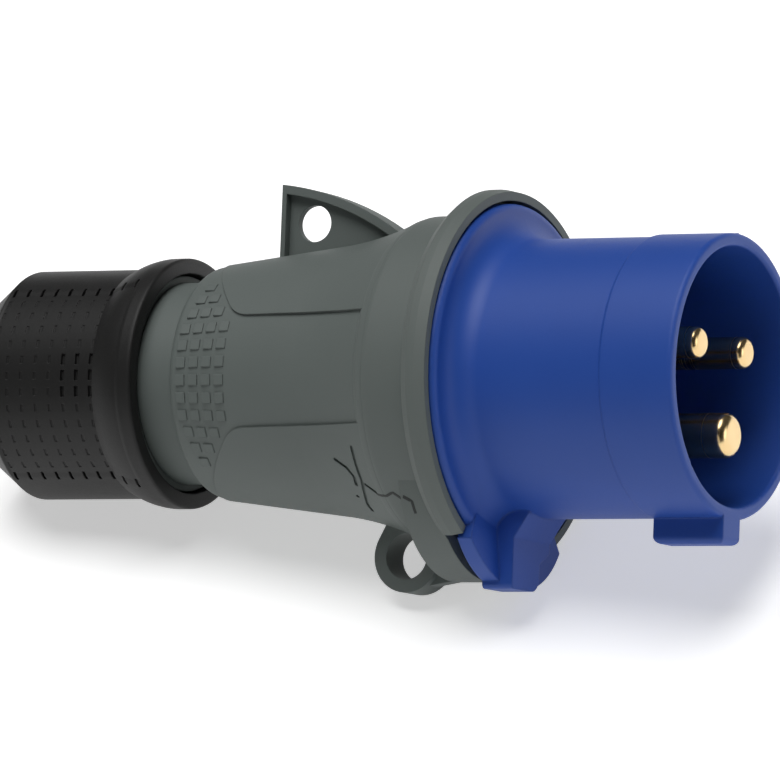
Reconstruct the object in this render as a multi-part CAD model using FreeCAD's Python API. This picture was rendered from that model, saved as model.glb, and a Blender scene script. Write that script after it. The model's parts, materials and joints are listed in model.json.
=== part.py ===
import FreeCAD, Part
import math
import os

from FreeCAD import Placement, Rotation, Vector

# Industrial pin and sleeve plug, 16 A, two poles and earth, with a screwed cable gland.
# Sizes are in millimetres. The plug is drawn along X: x is 0 at the rim of its sleeve and falls
# towards the cable. +Z runs to the fin (12 o'clock), and the key, the eye and the earth pin are at
# 6 o'clock. At the end every piece is laid down together, as the plug comes to rest on a floor.

# Sleeve and flange, one blue moulding
sleeve_outer_r = 22.0
sleeve_wall = 1.95
sleeve_band_length = 12.25
sleeve_band_step = 0.35
sleeve_rim_round = 0.7
sleeve_length = 37.8
socket_depth = 38.0
contact_plate_thickness = 7.0
flange_overhang = 5.2
flange_thickness = 3.2
flange_edge_round = 1.1
flange_fillet = 4.2
key_length = 12.0
key_width = 5.5
key_height = 3.8
key_edge_round = 1.1
barrel_inset = 1.0
barrel_wall = 1.7
barrel_length = 11.0
lug_height = 1.8
lug_length = 2.4
lug_sweep = 40.0
lug_count = 3

# Release lug and catch on the flange at 6 o'clock
notch_half_angle = 30.2
release_lug_gap = 0.45
release_lug_back = 1.35
release_lug_front = 1.3
release_lug_arc_r = 18.7
release_lug_overhang = 5.5
catch_width = 12.0
catch_front = 3.4
catch_overhang = 5.7
catch_nose_width = 8.8
catch_ledge = 5.0
catch_ledge_slope = 1.9
catch_nose_round = 2.4
catch_ramp_length = 2.4
catch_ramp_height = 3.4

# Pins
pin_circle_r = 9.0
phase_pin_r = 2.5
earth_pin_r = 3.5
phase_tip_setback = 2.0
earth_tip_setback = 0.05
pin_tip_share = 0.46
pin_seat_step = 0.3
pin_shoulder_step = 0.9
pin_shoulder_length = 1.5
phase_terminal_r = 4.0
earth_terminal_r = 4.6
terminal_length = 12.5
wire_hole_r = 2.2
wire_hole_depth = 10.0
terminal_screw_r = 1.6
terminal_screw_head_r = 2.7
terminal_screw_head_length = 1.8
terminal_screw_setback = 8.0
screw_slot_width = 0.8
screw_slot_depth = 0.9
wire_plate_width = 2.4
wire_plate_length = 6.4
wire_plate_thickness = 0.5
wire_plate_offset = 1.2

# Terminal carrier behind the contact plate
carrier_clearance = 0.2
carrier_thickness = 4.0
well_wall = 1.1
well_length = 8.0
well_clearance = 0.12
carrier_screw_r = 1.5
carrier_screw_head_r = 2.9
carrier_screw_head_length = 1.8
carrier_screw_grip = 3.4

# Flat seal between the flange and the housing
seal_thickness = 1.6
seal_inner_step = 0.3
seal_edge_gap = 1.3
seal_bead = 0.4

# Rear housing, one grey moulding
collar_gap = 0.5
collar_wall = 1.75
collar_length = 4.4
collar_setback = 0.8
collar_front_taper = 0.4
collar_taper_length = 1.8
collar_bevel_length = 1.35
collar_bevel_depth = 1.0
ring_wall = 2.2
ring_length = 9.8
ring_bore_play = 0.5
ring_edge_round = 1.9
bell_length = 13.2
bell_front_drop = 0.6
bell_bulge = 0.42
waist_r = 21.3
cone_length = 24.3
shoulder_r = 18.35
shoulder_round = 1.5
cheek_height = 0.5
cheek_back_height = 0.2
housing_wall = 2.2
hook_length = 2.0
neck_step = 2.45
neck_length = 17.4
neck_wall = 1.9
gland_seat_width = 2.8
gland_pocket_depth = 12.0
thread_rise = 0.2
thread_depth = 0.9
thread_pitch = 3.0
thread_start = 6.6

# Raised cheeks, side band and grip tiles of the housing
band_half_width = 8.8
band_corner_setback = 23.7
band_corner_length = 4.0
band_corner_rise = 1.8
cheek_rake = 46.0
tile_pitch = 2.45
tile_row_angle = 8.5
tile_size = 1.65
tile_height = 0.22
tile_front_setback = 26.3
tiles_in_row = (1, 2, 3, 4, 4, 4, 4, 4, 4, 3, 2, 1)

# Fin with the hanging hole
fin_back_x = -79.95
fin_tip_r = 31.0
fin_length = 21.35
fin_foot_r = 23.0
fin_bow = 1.35
fin_back_rim = 0.8
fin_bow_rim = 1.4
fin_rim_thickness = 4.2
fin_web_thickness = 1.2
fin_hole_r = 2.9
fin_hole_setback = 5.25
fin_hole_height = 24.9

# Lower eye and the pad beside the release notch
eye_x = -54.9
eye_offset = 2.1
eye_r = 5.65
eye_hole_r = 3.6
eye_thickness = 5.5
eye_web_thickness = 2.6
pad_arc_r = 19.5
pad_overhang = 1.95
pad_length = 5.0
notch_depth = 3.2

# Gland nut and what it clamps
nut_gap = 5.8
nut_length = 36.4
nut_wall = 1.9
nut_thread_clearance = 0.1
nut_collar_rise = 1.65
nut_collar_length = 2.4
nut_flare_length = 5.5
nut_flare_fullness = 0.71
nut_mouth_bevel = 0.7
nut_mouth_depth = 0.8
nut_chamfer_length = 7.3
nut_end_width = 2.6
nut_chamfer_reach = 2.4
nut_end_reach = 0.7
cable_entry_r = 8.6
cable_entry_length = 9.9
cable_entry_round = 0.8
nut_thread_length = 16.6
ring_seat_step = 3.7
ring_seat_depth = 0.8
grip_rows = 13
grip_row_angle = 9.3
grip_centre_angle = 95.0
grip_length = 23.4
grip_setback = 1.2
grip_groove_width = 0.8
grip_groove_depth = 0.35

cable_seal_clearance = 0.15
cable_seal_bore_r = 6.5
cable_seal_cone = 1.4
seal_core_bore_r = 4.2
seal_core_recess = 0.6
claw_ring_inset = 0.2
claw_ring_thickness = 1.8
claw_bore_r = 9.3
claw_length = 9.4
claw_count = 10
claw_slot_width = 1.5
claw_root_inset = 0.1
claw_taper = 2.0
claw_tip_bore_r = 9.0
pressure_ring_thickness = 1.4
pressure_ring_play = 0.05
pressure_ring_bore_r = 8.9
pressure_ring_side_play = 0.08

# Release sign engraved beside the eye: strokes through places (x from the collar's back, angle)
sign_width = 0.6
sign_depth = 0.45
sign_strokes = (
    ((-12.5, 121), (-12.55, 128.5), (-12.6, 136), (-13.4, 143.5), (-14.3, 151), (-14.3, 155)),
    ((-16.8, 128), (-14.9, 131), (-14.0, 135), (-14.3, 139)),
    ((-12.4, 137), (-9.0, 142), (-7.6, 140), (-5.0, 145), (-5.6, 150), (-6.2, 155)))
sign_dot = (-15.4, 146.5)

axis = Vector(1, 0, 0)
centre = Vector(0, 0, 0)
pin_angles = {"line": 60.0, "neutral": -60.0, "earth": 180.0}

# Planes across the plug
flange_front_x = -sleeve_length
flange_back_x = flange_front_x - flange_thickness
socket_floor_x = -socket_depth
plate_back_x = socket_floor_x - contact_plate_thickness
barrel_end_x = flange_back_x - barrel_length
seal_back_x = flange_back_x - seal_thickness
collar_front_x = flange_front_x - collar_setback
collar_back_x = collar_front_x - collar_length
collar_edge_x = collar_back_x + collar_bevel_length
ring_back_x = collar_back_x - ring_length
waist_x = ring_back_x - bell_length
shoulder_x = waist_x - cone_length
neck_end_x = shoulder_x - neck_length
gland_seat_x = neck_end_x + gland_pocket_depth
nut_front_x = shoulder_x - nut_gap
nut_back_x = nut_front_x - nut_length
entry_front_x = nut_back_x + cable_entry_length

pad_front_x = collar_front_x - notch_depth
pad_back_x = collar_back_x - pad_length
lug_front_x = barrel_end_x + lug_length

# Radii from the sleeve outwards
sleeve_inner_r = sleeve_outer_r - sleeve_wall
sleeve_tail_r = sleeve_outer_r - sleeve_band_step
flange_r = sleeve_outer_r + flange_overhang
barrel_outer_r = sleeve_outer_r - barrel_inset
barrel_inner_r = barrel_outer_r - barrel_wall
ring_bore_r = barrel_outer_r + lug_height + ring_bore_play
ring_r = ring_bore_r + ring_wall
bell_front_r = ring_r - bell_front_drop
collar_inner_r = flange_r + collar_gap
collar_outer_r = collar_inner_r + collar_wall
seal_inner_r = ring_bore_r + seal_inner_step
seal_outer_r = collar_inner_r - seal_edge_gap
release_lug_drop = flange_r + release_lug_overhang
catch_drop = flange_r + catch_overhang
pad_drop = collar_outer_r + pad_overhang
eye_drop = ring_r + eye_offset
base_waist_r = waist_r - cheek_height
base_shoulder_r = shoulder_r - cheek_back_height

# Radii of the neck and of what sits on it and in it
neck_r = shoulder_r - neck_step
thread_crest_r = neck_r + thread_rise
thread_root_r = thread_crest_r - thread_depth
gland_pocket_r = thread_root_r - neck_wall
neck_bore_r = gland_pocket_r - gland_seat_width
nut_bore_r = thread_crest_r + nut_thread_clearance
nut_r = nut_bore_r + nut_wall
nut_collar_r = nut_r + nut_collar_rise
nut_mouth_r = nut_bore_r + nut_mouth_bevel
nut_end_r = cable_entry_r + nut_end_width
ring_seat_r = nut_bore_r - ring_seat_step
claw_ring_r = thread_root_r - claw_ring_inset
claw_root_r = gland_pocket_r - claw_root_inset
claw_tip_r = claw_root_r - claw_taper


def wire_of(points):
    """Closed wire of straight runs and arcs; an arc is given as (through point, end point)."""
    edges = []
    start = points[0]
    here = start
    for step in points[1:] + [start]:
        if isinstance(step, tuple):
            through, end = step
            edges.append(Part.Arc(here, through, end).toShape())
            here = end
        elif here.distanceToPoint(step) > 1e-7:
            edges.append(Part.LineSegment(here, step).toShape())
            here = step
    return Part.Wire(edges)


def turned(points, sweep=360.0):
    """Solid turned about X from an outline of (x, r) points; an arc is ((x, r), (x, r))."""
    outline = []
    for step in points:
        if isinstance(step[0], tuple):
            through, end = step
            outline.append((Vector(through[0], 0, through[1]), Vector(end[0], 0, end[1])))
        else:
            outline.append(Vector(step[0], 0, step[1]))
    return Part.Face(wire_of(outline)).revolve(centre, axis, sweep)


def softened(before, corner, after, reach):
    """Rounded corner of an outline, from reach before it to reach after it."""
    back = Vector(before[0] - corner[0], before[1] - corner[1], 0).normalize()
    ahead = Vector(after[0] - corner[0], after[1] - corner[1], 0).normalize()
    half = back.getAngle(ahead) / 2
    inward = (back + ahead).normalize() * reach * (1 - math.sin(half)) / math.cos(half)
    start = (corner[0] + back.x * reach, corner[1] + back.y * reach)
    through = (corner[0] + inward.x, corner[1] + inward.y)
    end = (corner[0] + ahead.x * reach, corner[1] + ahead.y * reach)
    return [start, (through, end)]


def tube(x_front, x_back, outer_r, inner_r=0.0):
    """Plain cylinder or tube between two planes."""
    body = Part.makeCylinder(outer_r, x_front - x_back, Vector(x_back, 0, 0), axis)
    if inner_r > 0:
        hole = Part.makeCylinder(inner_r, x_front - x_back + 2, Vector(x_back - 1, 0, 0), axis)
        body = body.cut(hole)
    return body


def around(shape, angle):
    """A shape drawn at 12 o'clock, turned to an angle that grows towards -Y."""
    turned_shape = shape.copy()
    turned_shape.rotate(centre, axis, angle)
    return turned_shape


def sector(x_front, x_back, outer_r, inner_r, half_angle, middle_angle):
    """Piece of a ring, centred on an angle from 12 o'clock."""
    outline = [(x_back, inner_r), (x_front, inner_r), (x_front, outer_r), (x_back, outer_r)]
    return around(turned(outline, 2 * half_angle), middle_angle - half_angle)


def block(x_front, x_back, width, z_low, z_high):
    """Box centred on the middle plane."""
    return Part.makeBox(x_front - x_back, width, z_high - z_low, Vector(x_back, -width / 2, z_low))


def extruded_across(points, thickness):
    """Plate drawn in the middle plane from (x, z) points and given its thickness along Y."""
    outline = []
    for step in points:
        if isinstance(step[0], tuple):
            through, end = step
            outline.append((Vector(through[0], 0, through[1]), Vector(end[0], 0, end[1])))
        else:
            outline.append(Vector(step[0], 0, step[1]))
    plate = Part.Face(wire_of(outline)).extrude(Vector(0, thickness, 0))
    plate.translate(Vector(0, -thickness / 2, 0))
    return plate


def extruded_along(points, x_front, x_back):
    """Prism drawn across the plug from (y, z) points and run along X."""
    outline = []
    for step in points:
        if isinstance(step[0], tuple):
            through, end = step
            outline.append((Vector(x_back, through[0], through[1]), Vector(x_back, end[0], end[1])))
        else:
            outline.append(Vector(x_back, step[0], step[1]))
    return Part.Face(wire_of(outline)).extrude(Vector(x_front - x_back, 0, 0))


def pin_place(shape, angle):
    """A shape drawn on the plug's axis, moved out to its pin's place at 12 o'clock and turned."""
    placed = shape.copy()
    placed.translate(Vector(0, 0, pin_circle_r))
    placed.rotate(centre, axis, angle)
    return placed


def release_lug():
    """Lug that stands in the collar's notch, with the catch and its ramp in front of it."""
    front_x = flange_front_x + release_lug_front
    back_x = flange_back_x + release_lug_back
    root_z = 1 - sleeve_tail_r
    side_angle = notch_half_angle - math.degrees(release_lug_gap / collar_outer_r)
    wedge = sector(front_x, back_x, 2 * flange_r, sleeve_tail_r - 1, side_angle, 180)
    lobe = Part.makeCylinder(release_lug_arc_r, front_x - back_x,
                             Vector(back_x, 0, release_lug_arc_r - release_lug_drop), axis)
    slope = extruded_across([(back_x, root_z), (flange_front_x, root_z), (front_x, -release_lug_drop),
                             (back_x, -release_lug_drop)], 3 * release_lug_arc_r)
    lug = lobe.common(wedge).common(slope)
    catch_x = flange_front_x + catch_front
    near_y = -catch_width / 2
    far_y = catch_width / 2
    nose_y = near_y + catch_nose_width
    ledge_z = -sleeve_tail_r - catch_ledge
    nose_corner = softened((nose_y, ledge_z - catch_ledge_slope), (nose_y, -catch_drop), (near_y, -catch_drop),
                           catch_nose_round)
    near_corner = softened((nose_y, -catch_drop), (near_y, -catch_drop), (near_y, root_z), catch_nose_round / 3)
    catch = extruded_along(
        [(near_y, root_z), (far_y, root_z), (far_y, ledge_z), (nose_y, ledge_z - catch_ledge_slope)]
        + nose_corner + near_corner, catch_x, back_x)
    ramp = extruded_across([
        (catch_x - 0.5, root_z), (catch_x + catch_ramp_length, root_z),
        (catch_x + catch_ramp_length, 0.3 - sleeve_tail_r), (catch_x, -sleeve_tail_r - catch_ramp_height),
        (catch_x - 0.5, -sleeve_tail_r - catch_ramp_height)], catch_width)
    return lug.fuse([catch, ramp])


def sleeve_insert():
    """Front moulding: sleeve, key, flange, contact plate, barrel and bayonet lugs."""
    step_x = -sleeve_band_length
    rim = (0, sleeve_outer_r)
    foot = (flange_front_x, sleeve_tail_r)
    edge = (flange_front_x, flange_r)
    body = turned(
        [(0, 0)] + softened((0, 0), rim, (step_x, sleeve_outer_r), sleeve_rim_round)
        + [(step_x, sleeve_outer_r), (step_x - 0.25, sleeve_tail_r)]
        + softened((step_x, sleeve_tail_r), foot, edge, flange_fillet)
        + softened(foot, edge, (flange_back_x, flange_r), flange_edge_round)
        + [(flange_back_x, flange_r), (flange_back_x, barrel_outer_r), (barrel_end_x, barrel_outer_r),
           (barrel_end_x, 0)])
    inner_rim = (0, sleeve_inner_r)
    inner_round = sleeve_rim_round * 0.7
    socket = turned(
        [(1, 0), (1, sleeve_inner_r + inner_round)]
        + softened((0, sleeve_outer_r), inner_rim, (socket_floor_x, sleeve_inner_r), inner_round)
        + [(socket_floor_x, sleeve_inner_r), (socket_floor_x, 0)])
    terminal_space = tube(plate_back_x, barrel_end_x - 1, barrel_inner_r)
    key = block(0, -key_length, key_width, -sleeve_outer_r - key_height, -sleeve_inner_r - 0.5)
    key = key.makeFillet(key_edge_round, [e for e in key.Edges if lies_on_key_nose(e)])
    lugs = [sector(lug_front_x, barrel_end_x, barrel_outer_r + lug_height, barrel_inner_r + 0.4,
                   lug_sweep / 2, 90 + 360 / lug_count * i) for i in range(lug_count)]
    body = body.fuse([key, release_lug()] + lugs)
    holes = [pin_place(tube(socket_floor_x + 1, plate_back_x - 1, pin_r + pin_seat_step), angle)
             for pin_r, angle in seats()]
    screw_hole = tube(plate_back_x + carrier_screw_grip, plate_back_x - 1, carrier_screw_r)
    return body.cut([socket, terminal_space, screw_hole] + holes).removeSplitter()


def lies_on_key_nose(edge):
    """Long lower edges and the front and back lower edges of the key."""
    box = edge.BoundBox
    return box.ZMax < -sleeve_outer_r - key_height + 0.01


def seats():
    """Radius and angle of each pin."""
    return [(earth_pin_r if name == "earth" else phase_pin_r, angle) for name, angle in pin_angles.items()]


def pin(name):
    """Brass pin: domed contact, seat in the plate, shoulder, and a terminal with its wire hole."""
    earth = name == "earth"
    contact_r = earth_pin_r if earth else phase_pin_r
    terminal_r = earth_terminal_r if earth else phase_terminal_r
    tip_x = -(earth_tip_setback if earth else phase_tip_setback)
    tip_round = contact_r * pin_tip_share
    seat_r = contact_r + pin_seat_step
    shoulder_r_out = terminal_r + pin_shoulder_step
    shoulder_x_back = plate_back_x - pin_shoulder_length
    terminal_end_x = shoulder_x_back - terminal_length
    body = turned(
        [(terminal_end_x, 0), (tip_x, 0)]
        + softened((tip_x, 0), (tip_x, contact_r), (socket_floor_x, contact_r), tip_round)
        + [(socket_floor_x, contact_r), (socket_floor_x, seat_r), (plate_back_x, seat_r),
           (plate_back_x, shoulder_r_out), (shoulder_x_back, shoulder_r_out),
           (shoulder_x_back, terminal_r), (terminal_end_x, terminal_r)])
    wire_hole = tube(terminal_end_x + wire_hole_depth, terminal_end_x - 1, wire_hole_r)
    screw_x = plate_back_x - pin_shoulder_length - terminal_screw_setback
    screw_hole = Part.makeCylinder(terminal_screw_r, terminal_r + 2, Vector(screw_x, 0, 0), Vector(0, 0, 1))
    return pin_place(body.cut([wire_hole, screw_hole]), pin_angles[name])


def terminal_screw(name):
    """Slotted screw that bears on the wire plate, drawn pointing out at 12 o'clock."""
    terminal_r = earth_terminal_r if name == "earth" else phase_terminal_r
    screw_x = plate_back_x - pin_shoulder_length - terminal_screw_setback
    foot_z = wire_plate_offset + wire_plate_thickness
    head_z = terminal_r + 0.3
    up = Vector(0, 0, 1)
    shank = Part.makeCylinder(terminal_screw_r, head_z - foot_z, Vector(screw_x, 0, foot_z), up)
    head = Part.makeCylinder(terminal_screw_head_r, terminal_screw_head_length, Vector(screw_x, 0, head_z), up)
    slot = Part.makeBox(2 * terminal_screw_head_r + 2, screw_slot_width, screw_slot_depth + 1,
                        Vector(screw_x - terminal_screw_head_r - 1, -screw_slot_width / 2,
                               head_z + terminal_screw_head_length - screw_slot_depth))
    return pin_place(shank.fuse(head).cut(slot).removeSplitter(), pin_angles[name])


def wire_plate(name):
    """Small plate between the screw and the wire, inside the terminal's wire hole."""
    screw_x = plate_back_x - pin_shoulder_length - terminal_screw_setback
    plate = block(screw_x + wire_plate_length / 2, screw_x - wire_plate_length / 2, wire_plate_width,
                  wire_plate_offset, wire_plate_offset + wire_plate_thickness)
    return pin_place(plate, pin_angles[name])


def terminal_carrier():
    """Moulding that holds the pins against the contact plate, with an open well round each terminal."""
    back_x = plate_back_x - carrier_thickness
    body = tube(plate_back_x, back_x, barrel_inner_r - carrier_clearance)
    wells = []
    holes = []
    for name, angle in pin_angles.items():
        terminal_r = earth_terminal_r if name == "earth" else phase_terminal_r
        well_r = terminal_r + well_clearance
        wells.append(pin_place(tube(back_x, back_x - well_length, well_r + well_wall), angle))
        holes.append(pin_place(tube(plate_back_x + 1, back_x - well_length - 1, well_r), angle))
        holes.append(pin_place(tube(plate_back_x + 1, plate_back_x - pin_shoulder_length,
                                    terminal_r + pin_shoulder_step), angle))
        window = block(back_x - 0.6, back_x - well_length - 1, 2 * terminal_screw_head_r + 1,
                       terminal_r - 1.6, terminal_r + well_wall + 3)
        holes.append(pin_place(window, angle))
    holes.append(tube(plate_back_x + 1, back_x - 1, carrier_screw_r))
    return body.fuse(wells).cut(holes).removeSplitter()


def carrier_screw():
    """Screw through the carrier into the contact plate."""
    back_x = plate_back_x - carrier_thickness
    shank = tube(plate_back_x + carrier_screw_grip, back_x, carrier_screw_r)
    head_end_x = back_x - carrier_screw_head_length
    head = tube(back_x, head_end_x, carrier_screw_head_r)
    slot = Part.makeBox(screw_slot_depth + 1, 2 * carrier_screw_head_r + 2, screw_slot_width,
                        Vector(head_end_x - 1, -carrier_screw_head_r - 1, -screw_slot_width / 2))
    return shank.fuse(head).cut(slot).removeSplitter()


def flange_seal():
    """Flat rubber ring with a raised bead, squeezed between the flange and the housing."""
    bead_r = (seal_inner_r + seal_outer_r) / 2
    return turned([
        (flange_back_x, seal_inner_r), (flange_back_x, seal_outer_r - seal_bead),
        (flange_back_x - seal_bead, seal_outer_r), (seal_back_x, seal_outer_r),
        (seal_back_x, bead_r + seal_bead), (seal_back_x + seal_bead, bead_r),
        (seal_back_x, bead_r - seal_bead), (seal_back_x, seal_inner_r)])


def bell_point(height):
    """Middle of the bell's outline, at a height over the base surface."""
    middle_r = (bell_front_r + waist_r) / 2 - bell_bulge
    return ((ring_back_x + waist_x) / 2, middle_r - cheek_height + height)


def housing_base():
    """Turned outside of the housing: collar, ring, bell, cone, shoulder and threaded neck."""
    ring_edge = (ring_back_x, ring_r)
    shoulder = (shoulder_x, base_shoulder_r)
    return turned(
        [(collar_front_x, 0), (collar_front_x, collar_outer_r - collar_front_taper),
         (collar_front_x - collar_taper_length, collar_outer_r), (collar_edge_x, collar_outer_r),
         (collar_back_x, collar_outer_r - collar_bevel_depth), (collar_back_x, ring_r)]
        + softened((collar_back_x, ring_r), ring_edge, (ring_back_x, base_waist_r), ring_edge_round)
        + [(ring_back_x, bell_front_r - cheek_height), (bell_point(0), (waist_x, base_waist_r))]
        + softened((waist_x, base_waist_r), shoulder, (shoulder_x, neck_r), shoulder_round)
        + [(shoulder_x, neck_r), (shoulder_x - thread_start, neck_r), (shoulder_x - thread_start, thread_root_r),
           (neck_end_x, thread_root_r), (neck_end_x, 0)])


def cheeks():
    """Raised skin over the bell and cone, cut away at both side bands and round the grip tiles."""
    skin_end_r = shoulder_r + (waist_r - shoulder_r) * shoulder_round / cone_length
    skin = turned([
        (ring_back_x, 1), (ring_back_x, bell_front_r), (bell_point(cheek_height), (waist_x, waist_r)),
        (shoulder_x + shoulder_round, skin_end_r), (shoulder_x + shoulder_round, 1)])
    corner_x = ring_back_x - band_corner_setback
    turn_x = corner_x - band_corner_length
    turn_z = band_half_width + band_corner_rise
    through = (corner_x - 0.55 * band_corner_length, band_half_width + 0.27 * band_corner_rise)
    rake = math.tan(math.radians(cheek_rake))
    far_x = shoulder_x - 2
    far_z = turn_z + (turn_x - far_x) * rake
    window = extruded_across([
        (ring_back_x + 1, -band_half_width), (ring_back_x + 1, band_half_width), (corner_x, band_half_width),
        (through, (turn_x, turn_z)), (far_x, far_z), (far_x, -far_z), (turn_x, -turn_z),
        ((through[0], -through[1]), (corner_x, -band_half_width))], 4 * ring_r)
    return skin.cut(window)


def cone_r(x):
    """Radius of the base cone at x."""
    share = (x - shoulder_x) / (waist_x - shoulder_x)
    return base_shoulder_r + share * (base_waist_r - base_shoulder_r)


def grip_tiles():
    """Small raised squares on both sides of the shoulder."""
    tiles = []
    back_x = ring_back_x - tile_front_setback - 4 * tile_pitch
    rows = len(tiles_in_row)
    for row, count in enumerate(tiles_in_row):
        angle = 90 + (row - (rows - 1) / 2) * tile_row_angle
        inset = max(0.0, abs(row - (rows - 1) / 2) - 2.5)
        for column in range(count):
            x = back_x + (column + 0.5) * tile_pitch + 0.25 * inset * tile_pitch * (count < 4)
            r = cone_r(x)
            tile = block(x + tile_size / 2, x - tile_size / 2, tile_size, r - 1, r + tile_height)
            tiles.append(around(tile, angle))
            tiles.append(around(tile, -angle))
    return tiles


def circle_through(a, b, c):
    """Centre and radius of the circle through three (x, z) points."""
    d = 2 * (a[0] * (b[1] - c[1]) + b[0] * (c[1] - a[1]) + c[0] * (a[1] - b[1]))
    squares = [p[0] ** 2 + p[1] ** 2 for p in (a, b, c)]
    x = (squares[0] * (b[1] - c[1]) + squares[1] * (c[1] - a[1]) + squares[2] * (a[1] - b[1])) / d
    z = (squares[0] * (c[0] - b[0]) + squares[1] * (a[0] - c[0]) + squares[2] * (b[0] - a[0])) / d
    return (x, z), math.hypot(a[0] - x, a[1] - z)


def fin():
    """Rimmed fin at 12 o'clock: a bowed back, a thin web and the hanging hole."""
    tip = (fin_back_x, fin_tip_r)
    foot = (fin_back_x + fin_length, fin_foot_r)
    middle = ((tip[0] + foot[0]) / 2 + 0.35 * fin_bow, (tip[1] + foot[1]) / 2 + fin_bow)
    root_z = base_shoulder_r - 1.5
    plate = extruded_across([(fin_back_x, root_z), tip, (middle, foot), (foot[0], root_z)], fin_rim_thickness)
    bow_centre, bow_r = circle_through(tip, middle, foot)
    inner_bow = Part.makeCylinder(bow_r - fin_bow_rim, fin_rim_thickness + 2,
                                  Vector(bow_centre[0], -fin_rim_thickness / 2 - 1, bow_centre[1]), Vector(0, 1, 0))
    field = block(foot[0] + 5, fin_back_x + fin_back_rim, fin_rim_thickness + 2, root_z - 1, fin_tip_r + 5)
    web = block(foot[0] + 6, fin_back_x, fin_web_thickness, root_z - 2, fin_tip_r + 6)
    pocket = inner_bow.common(field).cut(web)
    hole_x = fin_back_x + fin_hole_setback
    hole = Part.makeCylinder(fin_hole_r, fin_rim_thickness + 4,
                             Vector(hole_x, -fin_rim_thickness / 2 - 2, fin_hole_height), Vector(0, 1, 0))
    return plate.cut([pocket, hole])


def eye():
    """Lanyard eye at 6 o'clock: a ring on a full-thickness root, with a thin web to the collar's pad."""
    along_y = Vector(0, 1, 0)
    ring = Part.makeCylinder(eye_r, eye_thickness, Vector(eye_x, -eye_thickness / 2, -eye_drop), along_y)
    root_z = -base_waist_r + 1
    tangent = math.radians(28)
    touch = (eye_x - eye_r * math.cos(tangent), -eye_drop + eye_r * math.sin(tangent))
    reach = (touch[1] - root_z) / math.tan(tangent + math.radians(90))
    root = extruded_across([touch, (touch[0] + reach, root_z), (eye_x + eye_r, root_z), (eye_x + eye_r, -eye_drop)],
                           eye_thickness)
    web = extruded_across([(eye_x, root_z), (eye_x, -eye_drop - eye_r + 0.6), (collar_back_x - 1, -pad_drop + 0.6),
                           (collar_back_x - 1, root_z)], eye_web_thickness)
    return ring.fuse([root, web])


def housing_cavity():
    """Everything hollow inside the housing, from the collar's mouth to the gland pocket."""
    waist_inner_r = base_waist_r - housing_wall
    shoulder_inner_r = base_shoulder_r - housing_wall
    return turned([
        (collar_front_x + 1, 0), (collar_front_x + 1, collar_inner_r), (seal_back_x, collar_inner_r),
        (seal_back_x, ring_bore_r), (ring_back_x, ring_bore_r), (waist_x, waist_inner_r),
        (shoulder_x + housing_wall, shoulder_inner_r), (shoulder_x + housing_wall, neck_bore_r),
        (gland_seat_x, neck_bore_r), (gland_seat_x, gland_pocket_r), (neck_end_x - 1, gland_pocket_r),
        (neck_end_x - 1, 0)])


def rear_housing():
    """Rear moulding: collar, ring, bell, cone, cheeks, fin, eye, bayonet hooks and gland neck."""
    pad = Part.makeCylinder(pad_arc_r, pad_front_x - pad_back_x, Vector(pad_back_x, 0, pad_arc_r - pad_drop), axis)
    body = housing_base().fuse([cheeks(), fin(), eye(), pad] + grip_tiles())
    body = body.cut(housing_cavity())
    hook_back_x = lug_front_x
    hooks = [sector(hook_back_x + hook_length, hook_back_x, ring_bore_r + 0.8, barrel_outer_r + 0.4,
                    lug_sweep / 2, 90 + 360 / lug_count * i) for i in range(lug_count)]
    notch = sector(collar_front_x + 1, pad_front_x, pad_drop + 2, collar_inner_r - 1,
                   notch_half_angle, 180)
    eye_hole = Part.makeCylinder(eye_hole_r, ring_r, Vector(eye_x, -ring_r / 2, -eye_drop), Vector(0, 1, 0))
    return body.fuse(hooks).cut([notch, eye_hole] + release_sign()).removeSplitter()


def outside_point(x, angle):
    """Point on the housing's outside, on the bell or the ring, at an angle from 12 o'clock."""
    if x > ring_back_x + ring_edge_round:
        r = ring_r
    elif x > ring_back_x:
        r = bell_front_r + (ring_r - bell_front_r) * math.sqrt((x - ring_back_x) / ring_edge_round)
    else:
        share = (x - waist_x) / bell_length
        r = waist_r + (bell_front_r - waist_r) * share - 4 * bell_bulge * share * (1 - share)
    spin = math.radians(angle)
    return Vector(x, -r * math.sin(spin), r * math.cos(spin))


def release_sign():
    """Cutters for the engraved sign: a bar along each run and a round at each place."""
    cutters = []
    for stroke in sign_strokes + ((sign_dot,),):
        places = [outside_point(collar_back_x + x, angle) for x, angle in stroke]
        for place in places:
            outward = Vector(0, place.y, place.z).normalize()
            cutters.append(Part.makeCylinder(sign_width / 2, 3, place - outward * sign_depth, outward))
        for here, there in zip(places, places[1:]):
            outward = Vector(0, here.y + there.y, here.z + there.z).normalize()
            aside = (there - here).cross(outward).normalize() * sign_width
            low = here - outward * sign_depth - aside / 2
            run = there - here
            face = Part.Face(Part.makePolygon([low, low + run, low + run + outward * 3, low + outward * 3, low]))
            cutters.append(face.extrude(aside))
    return cutters


def grip_grooves():
    """Grooves that part the rows of the nut's two grip panels, cut to one depth over cylinder and flare."""
    front_x = nut_front_x - grip_setback
    back_x = front_x - grip_length
    skin = turned(
        [(front_x, nut_collar_r + 1)] + lowered_flare(front_x)
        + [(back_x, nut_r - grip_groove_depth), (back_x, nut_collar_r + 1)])
    bars = []
    for side in (0, 180):
        for row in range(grip_rows + 1):
            angle = side + grip_centre_angle + (row - grip_rows / 2) * grip_row_angle
            bar = block(front_x, back_x, grip_groove_width, nut_r / 2, nut_collar_r + 2)
            bars.append(around(bar, angle))
    return [skin.common(bar) for bar in bars]


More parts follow.
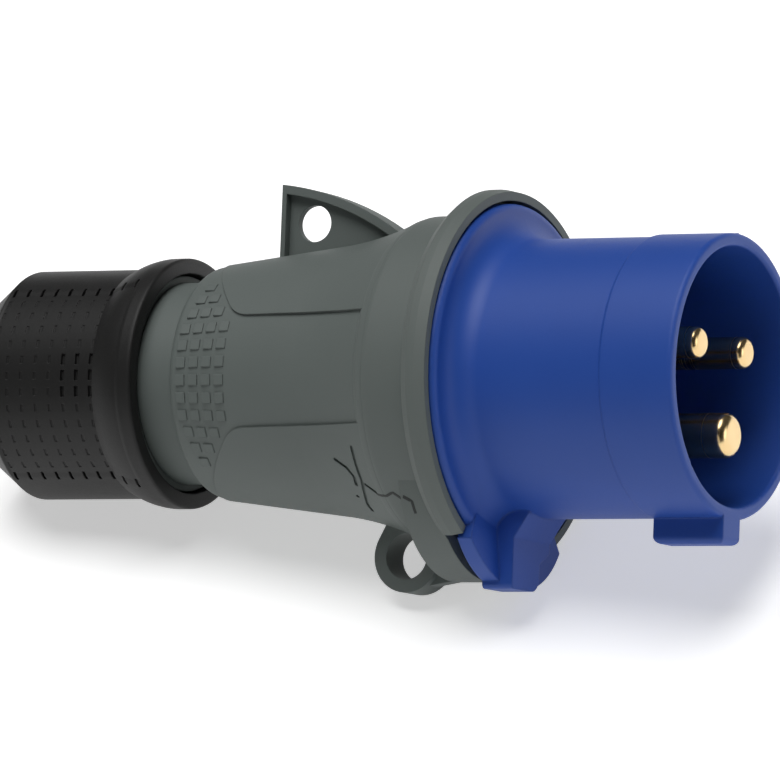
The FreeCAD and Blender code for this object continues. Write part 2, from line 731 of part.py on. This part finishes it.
def lowered_flare(front_x):
    """The nut's collar and flare, lowered by the depth of the grip grooves."""
    collar_back = nut_front_x - nut_collar_length
    flare_end = collar_back - nut_flare_length
    middle_r = nut_r + nut_collar_rise * nut_flare_fullness
    return [(front_x, nut_collar_r - grip_groove_depth), (collar_back, nut_collar_r - grip_groove_depth),
            ((collar_back - nut_flare_length / 2, middle_r - grip_groove_depth),
             (flare_end, nut_r - grip_groove_depth))]


def gland_nut():
    """Gland nut: flared collar, grip panels, coned end and the cable entry."""
    collar_back = nut_front_x - nut_collar_length
    flare_end = collar_back - nut_flare_length
    cone_end_x = entry_front_x + ring_seat_depth
    flare_middle = (collar_back - nut_flare_length / 2, nut_r + nut_collar_rise * nut_flare_fullness)
    chamfer = (nut_back_x + nut_chamfer_length, nut_r)
    end = (nut_back_x, nut_end_r)
    entry = (nut_back_x, cable_entry_r)
    body = turned(
        [(nut_front_x, nut_mouth_r), (nut_front_x, nut_collar_r - 0.4), (nut_front_x - 0.4, nut_collar_r),
         (collar_back, nut_collar_r), (flare_middle, (flare_end, nut_r))]
        + softened((flare_end, nut_r), chamfer, end, nut_chamfer_reach)
        + softened(chamfer, end, entry, nut_end_reach)
        + softened(end, entry, (entry_front_x, cable_entry_r), cable_entry_round)
        + [(entry_front_x, cable_entry_r), (entry_front_x, ring_seat_r), (cone_end_x, ring_seat_r),
           (nut_front_x - nut_thread_length, nut_bore_r), (nut_front_x - nut_mouth_depth, nut_bore_r)])
    return body.cut(grip_grooves()).removeSplitter()


def pressure_ring():
    """Loose ring at the bottom of the nut that pushes on the claws without turning them."""
    back_x = entry_front_x + pressure_ring_play
    outer_r = ring_seat_r - pressure_ring_side_play
    return tube(back_x + pressure_ring_thickness, back_x, outer_r, pressure_ring_bore_r)


def clamp_claws():
    """Ring of springy claws that closes on the cable."""
    ring_back = neck_end_x - claw_ring_thickness
    spigot_x = neck_end_x + 0.8
    tip_x = ring_back - claw_length
    body = turned([
        (spigot_x, claw_bore_r), (spigot_x, gland_pocket_r - cable_seal_clearance),
        (neck_end_x, gland_pocket_r - cable_seal_clearance), (neck_end_x, claw_ring_r), (ring_back, claw_ring_r),
        (ring_back, claw_root_r), (tip_x, claw_tip_r), (tip_x, claw_tip_bore_r), (ring_back, claw_bore_r + 1.2)])
    slots = []
    for i in range(claw_count):
        slot = block(ring_back, tip_x - 1, claw_slot_width, claw_tip_bore_r - 2, claw_root_r + 2)
        slots.append(around(slot, 360 / claw_count * i))
    return body.cut(slots)


def cable_seal():
    """Rubber bush in the neck's pocket, with a coned back that the claws press on."""
    back_x = neck_end_x + 0.8
    outer_r = gland_pocket_r - cable_seal_clearance
    return turned([
        (gland_seat_x, cable_seal_bore_r), (gland_seat_x, outer_r), (back_x, outer_r),
        (back_x, outer_r - 3), (back_x + cable_seal_cone, cable_seal_bore_r)])


def seal_core():
    """Inner rubber ring that is pulled out for a thick cable."""
    front_x = gland_seat_x - seal_core_recess
    back_x = neck_end_x + 0.8 + cable_seal_cone + seal_core_recess
    return tube(front_x, back_x, cable_seal_bore_r, seal_core_bore_r)


def clearance(roll, pitch, height):
    """Lowest height over the floor of the pad's rear edge and of the eye, at a roll."""
    down = math.cos(roll) * math.cos(pitch)
    aside = math.sin(roll) * math.cos(pitch)
    pad = height + pad_back_x * math.sin(pitch) + (pad_arc_r - pad_drop) * down - pad_arc_r * math.cos(pitch)
    eye_reach = eye_r * math.hypot(math.sin(pitch), down) + eye_thickness / 2 * aside
    eyelet = height + eye_x * math.sin(pitch) - eye_drop * down - eye_reach
    return min(pad, eyelet)


def resting_turn():
    """Rotation that lays the plug down, and the height of its axis at the rim.

    It lies on the collar where its rear bevel starts, on the round of the nut's end, and on the pad or the eye.
    The two round edges give the pitch, and the roll is the one at which the pad or the eye touches.
    """
    round_r = nut_chamfer_reach / math.tan(math.atan2(nut_r - nut_end_r, nut_chamfer_length) / 2)
    along = collar_edge_x - (nut_back_x + nut_chamfer_length + nut_chamfer_reach)
    across = collar_outer_r - nut_r + round_r
    pitch = math.atan2(across, along) - math.asin(round_r / math.hypot(along, across))
    height = -collar_edge_x * math.sin(pitch) + collar_outer_r * math.cos(pitch)
    low = 0.0
    high = math.pi / 2
    for _ in range(50):
        roll = (low + high) / 2
        if clearance(roll, pitch, height) < 0:
            low = roll
        else:
            high = roll
    turn = Rotation(Vector(0, 1, 0), -math.degrees(pitch))
    return turn.multiply(Rotation(Vector(1, 0, 0), -math.degrees(high))), height


def laid_down(shapes):
    """All pieces at rest on the floor, centred over the origin."""
    turn, height = resting_turn()
    rested = {name: placed(shape, Placement(Vector(0, 0, 0), turn)) for name, shape in shapes.items()}
    box = Part.makeCompound(list(rested.values())).optimalBoundingBox(False)
    shift = Vector(-(box.XMin + box.XMax) / 2, -(box.YMin + box.YMax) / 2, height)
    return {name: placed(shape, Placement(shift, Rotation())) for name, shape in rested.items()}, turn, shift


def placed(shape, placement):
    """Copy of a shape, moved by a placement."""
    moved = shape.copy()
    moved.Placement = placement.multiply(moved.Placement)
    return moved


pieces = {
    "sleeve_insert": sleeve_insert(),
    "terminal_carrier": terminal_carrier(),
    "carrier_screw": carrier_screw(),
    "flange_seal": flange_seal(),
    "rear_housing": rear_housing(),
    "gland_nut": gland_nut(),
    "pressure_ring": pressure_ring(),
    "clamp_claws": clamp_claws(),
    "cable_seal": cable_seal(),
    "seal_core": seal_core(),
}
for pole in pin_angles:
    pieces[pole + "_pin"] = pin(pole)
    pieces[pole + "_screw"] = terminal_screw(pole)
    pieces[pole + "_wire_plate"] = wire_plate(pole)

resting, rest_turn, rest_shift = laid_down(pieces)
os.makedirs("parts", exist_ok=True)
for node, shape in resting.items():
    shape.exportStep(os.path.join("parts", node + ".step"))
    print(node, "valid", shape.isValid(), "solids", len(shape.Solids), "volume", round(shape.Volume, 1))
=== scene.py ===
import json
import math

import bpy
from mathutils import Matrix, Vector


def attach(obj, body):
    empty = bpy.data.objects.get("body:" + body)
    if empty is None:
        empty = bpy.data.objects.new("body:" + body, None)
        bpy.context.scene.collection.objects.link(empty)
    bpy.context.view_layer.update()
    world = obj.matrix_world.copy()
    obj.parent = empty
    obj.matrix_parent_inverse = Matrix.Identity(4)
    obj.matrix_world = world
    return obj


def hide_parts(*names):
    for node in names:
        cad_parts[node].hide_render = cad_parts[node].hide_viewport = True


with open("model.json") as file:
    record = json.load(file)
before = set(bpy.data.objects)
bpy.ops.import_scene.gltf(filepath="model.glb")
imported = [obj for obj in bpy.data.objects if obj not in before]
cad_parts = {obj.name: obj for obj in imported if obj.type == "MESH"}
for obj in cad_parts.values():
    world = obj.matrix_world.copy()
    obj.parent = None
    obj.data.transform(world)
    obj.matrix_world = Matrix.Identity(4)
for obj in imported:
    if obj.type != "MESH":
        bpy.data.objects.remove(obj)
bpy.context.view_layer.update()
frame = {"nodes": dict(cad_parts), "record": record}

# The blue insert is one injection moulding in a half-gloss polyamide: the sleeve with its key, the
# flange with the release lug, and the plate that holds the pins. Its mould halves meet at 12 and 6
# o'clock, and a fine ridge is left along the top.
mounts = {mount["name"]: mount for mount in frame["record"]["mounts"]}
mount_behind_rim = 0.01225
along = Vector(mounts["mating_sleeve"]["axis"])
across = -Vector(mounts["hanging_hole"]["axis"])
upward = along.cross(across)
rim_centre = Vector(mounts["mating_sleeve"]["pos_m"]) + along * mount_behind_rim
plug = Matrix.Translation(rim_centre) @ Matrix((along, across, upward)).transposed().to_4x4()


def from_rim(x, y, z):
    """Place of a point given in mm along, across and up from the centre of the sleeve's rim."""
    return plug @ (Vector((x, y, z)) * 0.001)


def round_axis(x, radius, spin):
    """Place of a point given by x and radius in mm and by its turn from 12 o'clock in radians."""
    return from_rim(x, -radius * math.sin(spin), radius * math.cos(spin))


def clouded_tint(tree, place, colour, shade, scale, detail):
    """Base colour that drifts between two near tones. Gives back the cloud that it follows."""
    cloud = tree.nodes.new("ShaderNodeTexNoise")
    cloud.inputs["Scale"].default_value = scale
    cloud.inputs["Detail"].default_value = detail
    tree.links.new(place.outputs["Object"], cloud.inputs["Vector"])
    tint = tree.nodes.new("ShaderNodeMix")
    tint.data_type = "RGBA"
    tint.inputs["A"].default_value = (*colour, 1)
    tint.inputs["B"].default_value = (*shade, 1)
    tree.links.new(cloud.outputs["Fac"], tint.inputs["Factor"])
    tree.links.new(tint.outputs["Result"], tree.nodes["Principled BSDF"].inputs["Base Color"])
    return cloud


def uneven_gloss(tree, cloud, shiniest, dullest):
    """Roughness that follows a cloud between two values."""
    gloss = tree.nodes.new("ShaderNodeMapRange")
    gloss.inputs["To Min"].default_value = shiniest
    gloss.inputs["To Max"].default_value = dullest
    tree.links.new(cloud.outputs["Fac"], gloss.inputs["Value"])
    tree.links.new(gloss.outputs["Result"], tree.nodes["Principled BSDF"].inputs["Roughness"])


def moulded_plastic(name, colour, shade, roughness, grain, grain_depth, edge, specular=0.45):
    """Moulded plastic with a fine spark-eroded skin and slightly softened edges, with sizes in mm."""
    gloss_drift = 0.07
    material = bpy.data.materials.new(name)
    material.use_nodes = True
    tree = material.node_tree
    shader = tree.nodes["Principled BSDF"]
    shader.inputs["Specular IOR Level"].default_value = specular
    place = tree.nodes.new("ShaderNodeTexCoord")
    clouded_tint(tree, place, colour, shade, scale=90, detail=3)
    skin = tree.nodes.new("ShaderNodeTexNoise")
    skin.inputs["Scale"].default_value = 1000 / grain
    skin.inputs["Detail"].default_value = 5
    skin.inputs["Roughness"].default_value = 0.6
    tree.links.new(place.outputs["Object"], skin.inputs["Vector"])
    uneven_gloss(tree, skin, roughness - gloss_drift, roughness + gloss_drift)
    rounded = tree.nodes.new("ShaderNodeBevel")
    rounded.samples = 4
    rounded.inputs["Radius"].default_value = edge / 1000
    texture = tree.nodes.new("ShaderNodeBump")
    texture.inputs["Strength"].default_value = 0.5
    texture.inputs["Distance"].default_value = grain_depth / 1000
    tree.links.new(skin.outputs["Fac"], texture.inputs["Height"])
    tree.links.new(rounded.outputs["Normal"], texture.inputs["Normal"])
    tree.links.new(texture.outputs["Normal"], shader.inputs["Normal"])
    return material


def finish_node(name, material):
    """Gives a CAD piece its finish."""
    node = frame["nodes"][name]
    node.data.materials.clear()
    node.data.materials.append(material)
    return node


def added_piece(name, corners, faces, material, crease=35):
    """Piece made from its corners and faces, smooth where they meet at less than the crease angle."""
    mesh = bpy.data.meshes.new(name)
    mesh.from_pydata(corners, [], faces)
    mesh.materials.append(material)
    mesh.shade_smooth()
    mesh.set_sharp_from_angle(angle=math.radians(crease))
    piece = bpy.data.objects.new(name, mesh)
    bpy.context.scene.collection.objects.link(piece)
    return piece


def swept_strip(name, sections, material):
    """Closed strip through sections of four corners each, with its ends capped."""
    last = 4 * (len(sections) - 1)
    faces = []
    for first in range(0, last, 4):
        for side in range(4):
            beside = (side + 1) % 4
            faces.append((first + side, first + beside, first + 4 + beside, first + 4 + side))
    faces.append((3, 2, 1, 0))
    faces.append((last, last + 1, last + 2, last + 3))
    return added_piece(name, [corner for section in sections for corner in section], faces, material)


insert_blue = moulded_plastic("insert_blue", colour=(0.0135, 0.069, 0.365), shade=(0.017, 0.078, 0.40),
                              roughness=0.50, grain=0.35, grain_depth=0.03, edge=0.5)
finish_node("sleeve_insert", insert_blue)
seam_root_r, seam_half_foot, seam_half_crest = 21.5, 0.45, 0.12
seam_sections = []
for x, seam_r in ((-0.35, 21.7), (-0.6, 22.1), (-11.7, 22.14), (-12.0, 21.7)):
    seam_sections.append([from_rim(x, -seam_half_foot, seam_root_r), from_rim(x, -seam_half_crest, seam_r),
                          from_rim(x, seam_half_crest, seam_r), from_rim(x, seam_half_foot, seam_root_r)])
sleeve_seam = swept_strip("sleeve_seam", seam_sections, insert_blue)
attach(sleeve_seam, "plug_body")

# The three pins are turned from brass bar, with domed ends polished by the tool, and are drilled for
# the wire behind the plate. Their flanks carry the fine rings of the lathe.
pin_brass = bpy.data.materials.new("pin_brass")
pin_brass.use_nodes = True
brass_tree = pin_brass.node_tree
brass_shader = brass_tree.nodes["Principled BSDF"]
brass_shader.inputs["Metallic"].default_value = 1.0
brass_place = brass_tree.nodes.new("ShaderNodeTexCoord")
clouded_tint(brass_tree, brass_place, colour=(0.86, 0.66, 0.36), shade=(0.72, 0.50, 0.24),
             scale=260, detail=4)
lathe_run = brass_tree.nodes.new("ShaderNodeVectorMath")
lathe_run.operation = "DOT_PRODUCT"
lathe_run.inputs[1].default_value = along
brass_tree.links.new(brass_place.outputs["Object"], lathe_run.inputs[0])
lathe_rings = brass_tree.nodes.new("ShaderNodeTexNoise")
lathe_rings.noise_dimensions = "1D"
lathe_rings.inputs["Scale"].default_value = 5000
lathe_rings.inputs["Detail"].default_value = 3
brass_tree.links.new(lathe_run.outputs["Value"], lathe_rings.inputs["W"])
uneven_gloss(brass_tree, lathe_rings, 0.16, 0.32)
ring_relief = brass_tree.nodes.new("ShaderNodeBump")
ring_relief.inputs["Strength"].default_value = 0.35
ring_relief.inputs["Distance"].default_value = 0.00001
brass_tree.links.new(lathe_rings.outputs["Fac"], ring_relief.inputs["Height"])
brass_tree.links.new(ring_relief.outputs["Normal"], brass_shader.inputs["Normal"])
for pole in ("line", "neutral", "earth"):
    finish_node(pole + "_pin", pin_brass)

# The terminal screws, the carrier's screw and the small plates that press on the wires are zinc-plated
# steel, a little dull and unevenly bright.
zinc_plate = bpy.data.materials.new("zinc_plate")
zinc_plate.use_nodes = True
zinc_tree = zinc_plate.node_tree
zinc_tree.nodes["Principled BSDF"].inputs["Metallic"].default_value = 1.0
zinc_place = zinc_tree.nodes.new("ShaderNodeTexCoord")
zinc_cloud = clouded_tint(zinc_tree, zinc_place, colour=(0.62, 0.63, 0.62), shade=(0.50, 0.51, 0.48),
                          scale=900, detail=4)
uneven_gloss(zinc_tree, zinc_cloud, 0.28, 0.46)
for small_steel in ("line_screw", "neutral_screw", "earth_screw", "carrier_screw",
                    "line_wire_plate", "neutral_wire_plate", "earth_wire_plate"):
    finish_node(small_steel, zinc_plate)

# The terminal carrier is pushed over the pins' ends inside the insert and holds them against its plate.
# It is moulded in a dark, matt thermoset.
carrier_black = moulded_plastic("carrier_black", colour=(0.020, 0.020, 0.022), shade=(0.028, 0.028, 0.030),
                                roughness=0.55, grain=0.3, grain_depth=0.03, edge=0.15)
finish_node("terminal_carrier", carrier_black)

# The flange seal, the bush in the gland and the bush's inner ring are soft black rubber, moulded matt
# and a little dusty.
gland_rubber = moulded_plastic("gland_rubber", colour=(0.016, 0.016, 0.016), shade=(0.032, 0.031, 0.030),
                               roughness=0.72, grain=0.2, grain_depth=0.05, edge=0.1)
for rubber_ring in ("flange_seal", "cable_seal", "seal_core"):
    finish_node(rubber_ring, gland_rubber)

# The rear housing is one moulding in matt grey polyamide: the collar and its soft shoulder, the bell with
# raised cheeks and grip tiles, the fin, the eye, and the threaded neck with its stop ring. The release
# sign is pressed into its side. Its last strokes, which run over the shoulder, are thin strips in painted
# shade: a dark grey that stands in for the shadow in the pressed grooves.
housing_grey = moulded_plastic("housing_grey", colour=(0.122, 0.143, 0.135), shade=(0.134, 0.156, 0.148),
                               roughness=0.60, grain=0.3, grain_depth=0.045, edge=0.22)
# Painted shade: a dark grey that stands in for the shadow inside the release sign's pressed grooves.
painted_groove_shade = moulded_plastic("painted_groove_shade", colour=(0.024, 0.028, 0.026), shade=(0.03, 0.034, 0.032),
                              roughness=0.7, grain=0.3, grain_depth=0.045, edge=0.1)
rear_housing = finish_node("rear_housing", housing_grey)
plug_turn = plug.to_3x3()
thread_pitch = 3.0


def thread_ridge(name, front, back, root, crest, foot, land, phase, material):
    """Right-handed screw ridge between two places on the axis, run out to nothing at both ends."""
    steps_a_turn, run_out_steps, end_share = 72, 14, 0.25
    steps = int(((front - back) / thread_pitch - 2 * end_share) * steps_a_turn)
    sections = []
    for step in range(steps + 1):
        spin = 2 * math.pi * (phase + step / steps_a_turn)
        x = back + thread_pitch * (end_share + step / steps_a_turn)
        top = root + (crest - root) * min(1.0, step / run_out_steps, (steps - step) / run_out_steps)
        sections.append([round_axis(x - foot / 2, root, spin), round_axis(x - land / 2, top, spin),
                         round_axis(x + land / 2, top, spin), round_axis(x + foot / 2, root, spin)])
    return swept_strip(name, sections, material)


def turned_skin(rings, spokes):
    """Faces of a closed skin round the axis, from its front ring of corners back to that ring."""
    faces = []
    for ring in range(rings):
        after = (ring + 1) % rings
        for spoke in range(spokes):
            beside = (spoke + 1) % spokes
            faces.append((ring * spokes + spoke, ring * spokes + beside,
                          after * spokes + beside, after * spokes + spoke))
    return faces


def turned_rim(name, outline, material):
    """Closed ring turned round the plug's axis from an outline of (x, radius) in mm."""
    spokes = 240
    corners = [round_axis(x, radius, 2 * math.pi * spoke / spokes)
               for x, radius in outline for spoke in range(spokes)]
    return added_piece(name, corners, turned_skin(len(outline), spokes), material)


def sign_stroke(name, points):
    """Thin strip laid on the housing along (x, angle) points: one release sign stroke, in painted shade."""
    bell_r, half_width, sunk, proud, step_length, clearance = 25, 0.22, 0.1, 0.05, 0.5, 40
    sections = []
    for start, end in zip(points, points[1:]):
        run = Vector((end[0] - start[0], math.radians(end[1] - start[1]) * bell_r, 0)).normalized()
        steps = 1 + int(math.dist(start, end) / step_length)
        for step in range(steps + (end == points[-1])):
            x = start[0] + (end[0] - start[0]) * step / steps
            angle = start[1] + (end[1] - start[1]) * step / steps
            section = []
            for side, height in ((-half_width, -sunk), (-half_width, proud),
                                 (half_width, proud), (half_width, -sunk)):
                spin = math.radians(angle) + run.x * side / bell_r
                outward = plug_turn @ Vector((0, -math.sin(spin), math.cos(spin)))
                outside = from_rim(x - run.y * side, 0, 0) + outward * (clearance * 0.001)
                touched = [under.ray_cast(outside, -outward)[1]
                           for under in (rear_housing, collar_shoulder)]
                place = min(touched, key=lambda spot: (spot - outside).length)
                section.append(place + outward * (height * 0.001))
            sections.append(section)
    stroke = swept_strip(name, sections, painted_groove_shade)
    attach(stroke, "plug_body")


shoulder_outline = [(-51.6, 24.6), (-51.7, 25.33), (-52.0, 25.26), (-52.3, 25.17), (-52.6, 25.05),
                    (-52.85, 24.93), (-53.2, 24.72), (-53.6, 24.30), (-53.65, 24.0)]
collar_shoulder = turned_rim("collar_shoulder", shoulder_outline, housing_grey)
stop_outline = [(-97.1, 15.2), (-97.1, 16.85), (-97.25, 17.0), (-98.05, 17.0), (-98.2, 16.85),
                (-98.2, 15.2)]
neck_stop = turned_rim("neck_stop", stop_outline, housing_grey)
for housing_ring in (collar_shoulder, neck_stop):
    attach(housing_ring, "plug_body")
sign_stroke("release_sign_bend", [(-53.38, 140.8), (-51.3, 139.9), (-49.92, 138.1), (-48.7, 141.5)])
sign_stroke("release_sign_end", [(-47.58, 137.8), (-46.16, 139.3), (-45.96, 143.3)])
neck_thread = thread_ridge("neck_thread", front=-98.4, back=-107.5, root=15.1, crest=16.1,
                           foot=1.8, land=0.7, phase=0.0, material=housing_grey)
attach(neck_thread, "plug_body")

# The clamp's ring of claws and the loose ring behind it are moulded in natural polyamide, which stays
# slippery. The nut presses on the loose ring, and the claws bend inwards round a cable.
clamp_white = moulded_plastic("clamp_white", colour=(0.52, 0.51, 0.46), shade=(0.60, 0.58, 0.52),
                              roughness=0.5, grain=0.3, grain_depth=0.02, edge=0.15)
for clamp_piece in ("clamp_claws", "pressure_ring"):
    finish_node(clamp_piece, clamp_white)

# The gland nut is screwed on the neck by hand. It is a black half-matt moulding with a flared collar and
# a coned end. Its two grip panels are shallow recesses with rows of short pressed dashes, which are
# longer and deeper along the panels' edges and in a patch near the middle.
nut_black = moulded_plastic("nut_black", colour=(0.0115, 0.0115, 0.0115), shade=(0.0145, 0.0143, 0.014),
                            roughness=0.50, grain=0.4, grain_depth=0.04, edge=0.2, specular=0.3)
nut_r, collar_r, nut_end_r = 18.1, 19.75, 11.2
mouth_r, thread_bore_r, seat_r, entry_r = 17.3, 16.2, 12.5, 8.6
nut_front_x, collar_back_x, mouth_back_x, flare_back_x = -96.1, -98.5, -99.9, -104.0
nut_corner_x, nut_back_x = -122.8, -132.1
bore_back_x, seat_front_x, seat_back_x = -112.7, -121.8, -122.6
flare_lead = 0.16
row_turn, row_count = 8.15, 13
column_front_x, column_pitch, column_count = -99.2, 2.53, 9
panel_depth, panel_margin, plain_columns = 0.16, 0.25, 2
dash_depth, deep_dash_depth, edge_notch_depth = 0.28, 0.6, 0.3
dash_width, patch_widening = 0.44, 1.5
dash_reach, long_dash_reach = 0.235, 0.335
patch_rows, patch_columns = (5, 6, 7), (2, 3, 4)


def nut_outside(x):
    """Radius of the nut's smooth outside, in mm, without the grip panels."""
    if x > collar_back_x:
        return collar_r
    if x > flare_back_x:
        down = (collar_back_x - x) / (collar_back_x - flare_back_x)
        return collar_r - (collar_r - nut_r) * (flare_lead * down + (1 - flare_lead) * down * down)
    return nut_r


def panel_recess(column_place, row_place):
    """Depth of a grip panel in mm, at a place given in columns and rows counted from its corner."""
    inside = -panel_margin < column_place < column_count + panel_margin and 0 < row_place < row_count
    depth = panel_depth if inside else 0.0
    column = min(max(round(column_place), 0), column_count)
    row = min(max(round(row_place), 0), row_count)
    on_edge = row in (0, row_count)
    in_patch = row in patch_rows and column in patch_columns
    half_width = dash_width * (patch_widening if in_patch else 1.0) / 2 / column_pitch
    reach = long_dash_reach if in_patch or on_edge else dash_reach
    if abs(row_place - row) >= reach or abs(column_place - column) >= half_width:
        return depth
    if column < plain_columns:
        return depth + edge_notch_depth if on_edge else depth
    return deep_dash_depth if in_patch or on_edge else dash_depth


row_steps = (-0.46, -0.345, -0.325, -0.245, -0.225, 0, 0.225, 0.245, 0.325, 0.345, 0.46)
column_steps = (-0.30, -0.141, -0.121, -0.097, -0.077, 0.077, 0.097, 0.121, 0.141, 0.30)
plain_step_count = 22
plain_rows = 180 / row_turn - row_count - 2 * row_steps[-1]
nut_spokes = []
for panel_middle in (95.0, 275.0):
    nut_spokes += [(panel_middle, row + row_step) for row in range(row_count + 1) for row_step in row_steps]
    nut_spokes += [(panel_middle, row_count + row_steps[-1] + plain_step * plain_rows / plain_step_count)
                   for plain_step in range(1, plain_step_count)]
# An outline point without a radius follows the nut's outside and its grip panels.
nut_outline = [(mouth_back_x, thread_bore_r), (mouth_back_x, mouth_r), (nut_front_x - 0.15, mouth_r),
               (nut_front_x, mouth_r + 0.15), (nut_front_x, collar_r - 0.45),
               (nut_front_x - 0.05, collar_r - 0.25), (nut_front_x - 0.2, collar_r - 0.07),
               (nut_front_x - 0.4, collar_r)]
nut_outline += [(nut_front_x - 0.4 * step, None) for step in range(2, 6)]
nut_outline += [(column_front_x - column_pitch * (column + column_step), None)
                for column in range(column_count + 1) for column_step in column_steps]
nut_outline += [(nut_corner_x + 0.05, None), (nut_corner_x - 0.1, nut_r - 0.05)]
nut_outline += [(nut_corner_x - share * (nut_corner_x - nut_back_x), nut_r - share * (nut_r - nut_end_r))
                for share in (0.08, 0.35, 0.65, 0.9, 0.97)]
nut_outline += [(nut_back_x + 0.1, nut_end_r - 0.15), (nut_back_x, nut_end_r - 0.5)]
entry_lip = ((0, 0.8), (0.06, 0.45), (0.23, 0.23), (0.5, 0.06), (0.8, 0), (5.1, 0))
nut_outline += [(nut_back_x + inward, entry_r + outward) for inward, outward in entry_lip]
nut_outline += [(seat_back_x, entry_r), (seat_back_x, seat_r), (seat_front_x, seat_r),
                (bore_back_x, thread_bore_r), (bore_back_x + 7.7, thread_bore_r)]
nut_corners = []
for x, radius in nut_outline:
    for panel_middle, row_place in nut_spokes:
        spin = math.radians(panel_middle + (row_place - row_count / 2) * row_turn)
        reach = radius
        if reach is None:
            reach = nut_outside(x) - panel_recess((column_front_x - x) / column_pitch, row_place)
        nut_corners.append(round_axis(x, reach, spin))
nut_faces = turned_skin(len(nut_outline), len(nut_spokes))
gland_nut_moulding = added_piece("gland_nut_moulding", nut_corners, nut_faces, nut_black, crease=32)
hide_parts("gland_nut")
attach(gland_nut_moulding, "nut_body")
nut_thread_shift = 0.4
nut_thread = thread_ridge("nut_thread", front=-100.2, back=-111.6, root=16.25, crest=15.4,
                          foot=1.1, land=0.4, phase=nut_thread_shift / thread_pitch, material=nut_black)
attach(nut_thread, "nut_body")

# The plug lies on a white studio floor that runs out of the picture on every side. The floor glows a
# little to the camera and in reflections, so that it looks as white as the ground of the photograph.
floor_reach, floor_glow = 3, 0.5
floor_mesh = bpy.data.meshes.new("studio_floor")
floor_mesh.from_pydata([(-floor_reach, -floor_reach, 0), (floor_reach, -floor_reach, 0),
                        (floor_reach, floor_reach, 0), (-floor_reach, floor_reach, 0)], [], [(0, 1, 2, 3)])
studio_floor = bpy.data.objects.new("studio_floor", floor_mesh)
bpy.context.scene.collection.objects.link(studio_floor)
floor_white = bpy.data.materials.new("floor_white")
floor_white.use_nodes = True
floor_tree = floor_white.node_tree
floor_shader = floor_tree.nodes["Principled BSDF"]
floor_shader.inputs["Base Color"].default_value = (0.93, 0.93, 0.93, 1)
floor_shader.inputs["Roughness"].default_value = 0.9
floor_shader.inputs["Specular IOR Level"].default_value = 0.1
ray = floor_tree.nodes.new("ShaderNodeLightPath")
seen = floor_tree.nodes.new("ShaderNodeMath")
seen.operation = "MAXIMUM"
floor_tree.links.new(ray.outputs["Is Camera Ray"], seen.inputs[0])
floor_tree.links.new(ray.outputs["Is Glossy Ray"], seen.inputs[1])
glow = floor_tree.nodes.new("ShaderNodeMath")
glow.operation = "MULTIPLY"
glow.inputs[1].default_value = floor_glow
floor_tree.links.new(seen.outputs["Value"], glow.inputs[0])
floor_shader.inputs["Emission Color"].default_value = (1, 1, 1, 1)
floor_tree.links.new(glow.outputs["Value"], floor_shader.inputs["Emission Strength"])
floor_mesh.materials.append(floor_white)

# The camera stands off the plug's near side, turned towards its mouth and a little below its axis. It has
# a long lens, and its aim puts the sleeve's rim near the right edge of the picture.
turn, lean, tilt = math.radians(26.9), math.radians(6.1), math.radians(0.74)
picture_long_side, picture_middle, rim_in_picture = 781, (390, 390.5), (736.85, 376.75)
lens_in_pixels, camera_away, film_width = 10000.0, 1.529, 36
to_camera = Vector((math.sin(turn), -math.cos(turn) * math.cos(lean), -math.cos(turn) * math.sin(lean)))
level_right = Vector((math.cos(turn), math.sin(turn) * math.cos(lean), math.sin(turn) * math.sin(lean)))
level_up = Vector((0, -math.sin(lean), math.cos(lean)))
picture_right = level_right * math.cos(tilt) - level_up * math.sin(tilt)
picture_up = level_right * math.sin(tilt) + level_up * math.cos(tilt)
aim = (-to_camera * lens_in_pixels + picture_right * (picture_middle[0] - rim_in_picture[0])
       - picture_up * (picture_middle[1] - rim_in_picture[1])).normalized()
camera_back = -aim
camera_right = (picture_right - aim * picture_right.dot(aim)).normalized()
camera_up = camera_back.cross(camera_right)
camera_turn = Matrix((camera_right, camera_up, camera_back)).transposed().to_4x4()
camera_data = bpy.data.cameras.new("camera")
camera_data.sensor_width = film_width
camera_data.lens = lens_in_pixels / picture_long_side * film_width
camera_data.clip_end = 20
camera = bpy.data.objects.new("camera", camera_data)
camera.matrix_world = plug @ Matrix.Translation(to_camera * camera_away) @ camera_turn
bpy.context.scene.collection.objects.link(camera)
bpy.context.scene.camera = camera

# The studio is a white tent: an even sky that dims towards the camera, and three very soft lamps, one
# above, one in front and one to the right.
studio = bpy.data.worlds.new("studio")
studio.use_nodes = True
bpy.context.scene.world = studio
sky_tree = studio.node_tree
sky_place = sky_tree.nodes.new("ShaderNodeTexCoord")
sky_side = sky_tree.nodes.new("ShaderNodeVectorMath")
sky_side.operation = "DOT_PRODUCT"
sky_side.inputs[1].default_value = plug_turn @ to_camera
sky_tree.links.new(sky_place.outputs["Generated"], sky_side.inputs[0])
sky_fall = sky_tree.nodes.new("ShaderNodeMapRange")
sky_fall.interpolation_type = "SMOOTHSTEP"
sky_fall.inputs["From Min"].default_value = 0.1
sky_fall.inputs["From Max"].default_value = 0.95
sky_fall.inputs["To Min"].default_value = 1.3
sky_fall.inputs["To Max"].default_value = 0.3
sky_tree.links.new(sky_side.outputs["Value"], sky_fall.inputs["Value"])
sky_tree.links.new(sky_fall.outputs["Result"], sky_tree.nodes["Background"].inputs["Strength"])
for lamp_name, lamp_way, lamp_strength, lamp_angle in (
        ("top_lamp", picture_up * 0.9 + to_camera * 0.45 - picture_right * 0.2, 2.3, 50),
        ("front_lamp", to_camera * 0.75 - picture_right * 0.35 - picture_up * 0.33, 0.35, 50),
        ("side_lamp", picture_right * 0.9 + to_camera * 0.35, 0.7, 40)):
    lamp_data = bpy.data.lights.new(lamp_name, "SUN")
    lamp_data.energy = lamp_strength
    lamp_data.angle = math.radians(lamp_angle)
    lamp = bpy.data.objects.new(lamp_name, lamp_data)
    lamp.rotation_euler = (plug_turn @ lamp_way).to_track_quat("Z", "Y").to_euler()
    bpy.context.scene.collection.objects.link(lamp)
bpy.context.scene.view_settings.view_transform = "Standard"
